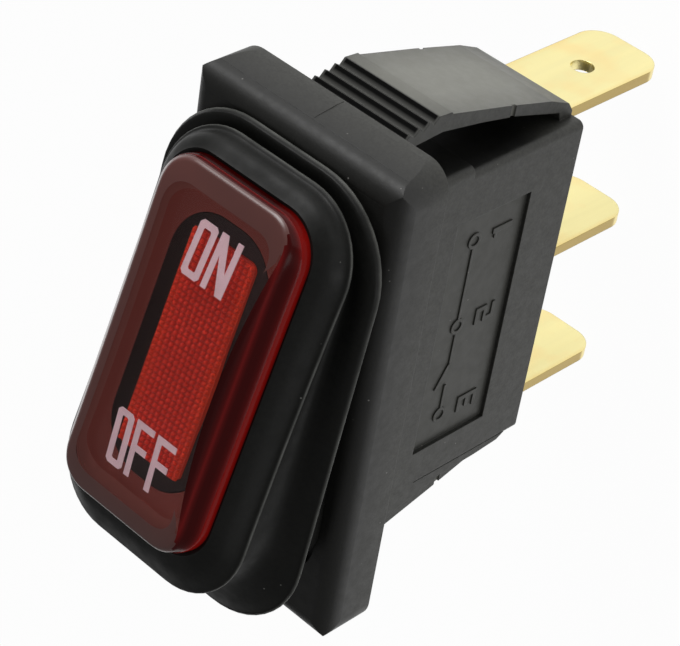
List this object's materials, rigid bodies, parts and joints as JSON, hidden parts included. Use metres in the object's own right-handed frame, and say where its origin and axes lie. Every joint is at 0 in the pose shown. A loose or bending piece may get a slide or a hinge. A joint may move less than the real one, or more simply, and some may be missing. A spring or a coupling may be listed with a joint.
{
  "type": "panel rocker switch",
  "caption": "Sealed narrow ON/OFF panel rocker switch with a lit red lens, a bellows boot, snap-in wings and push-on tabs.",
  "frame": {"origin": "centre of the body's opening in the bezel underside, on the panel's front surface", "axes": "+Z out of the panel towards the user, +Y towards the ON end, +X towards the labelled side"},
  "size_m": [0.019, 0.0371, 0.0456],
  "materials": {
    "housing_black": "fine-grained black nylon",
    "boot_rubber": "soft black rubber",
    "inner_black": "black plastic",
    "lens_red": "glossy translucent red",
    "window_red": "prismatic translucent red",
    "lamp_glass": "clear glass",
    "wire_tin": "tinned wire",
    "resistor_body": "coated ceramic",
    "spring_steel": "drawn spring wire",
    "tab_brass": "bright stamped brass",
    "blade_copper": "copper alloy sheet",
    "contact_silver": "silver alloy"
  },
  "bodies": {
    "housing": {"housing": "housing_black", "seal_boot": "boot_rubber", "boot_clamp": "inner_black", "terminal_lamp": "tab_brass", "terminal_common": "tab_brass", "terminal_line": "tab_brass", "fixed_contact": "contact_silver", "lamp_spring": "spring_steel"},
    "rocker": {"rocker_carrier": "inner_black", "rocker_lens": "lens_red", "window_mask": "inner_black", "window_diffuser": "window_red", "lamp_glass": "lamp_glass", "lamp_lead_a": "wire_tin", "lamp_lead_b": "wire_tin", "lamp_resistor": "resistor_body", "plunger_spring": "spring_steel"},
    "plunger": {"plunger": "tab_brass"},
    "contact": {"contact_blade": "blade_copper", "moving_contact": "contact_silver"}
  },
  "joints": [
    {"name": "rocker_hinge", "type": "hinge", "parent": "housing", "child": "rocker", "pos_m": [0, 0, 0.0015], "axis": [1, 0, 0], "range_deg": [0, 34.4], "deforming": ["seal_boot", "lamp_spring"]},
    {"name": "plunger_slide", "type": "slide", "parent": "rocker", "child": "plunger", "axis": [0, 0.2957, 0.9553], "range_m": [0, 0.0015], "stiffness_N_per_m": 60, "springref_m": -0.002, "deforming": ["plunger_spring"]},
    {"name": "contact_hinge", "type": "hinge", "parent": "housing", "child": "contact", "pos_m": [0, 0, -0.0063], "axis": [1, 0, 0], "range_deg": [-16, 0]}
  ],
  "couplings": [
    {"joint": "contact_hinge", "follows": "rocker_hinge", "ratio": -0.46512}
  ]
}
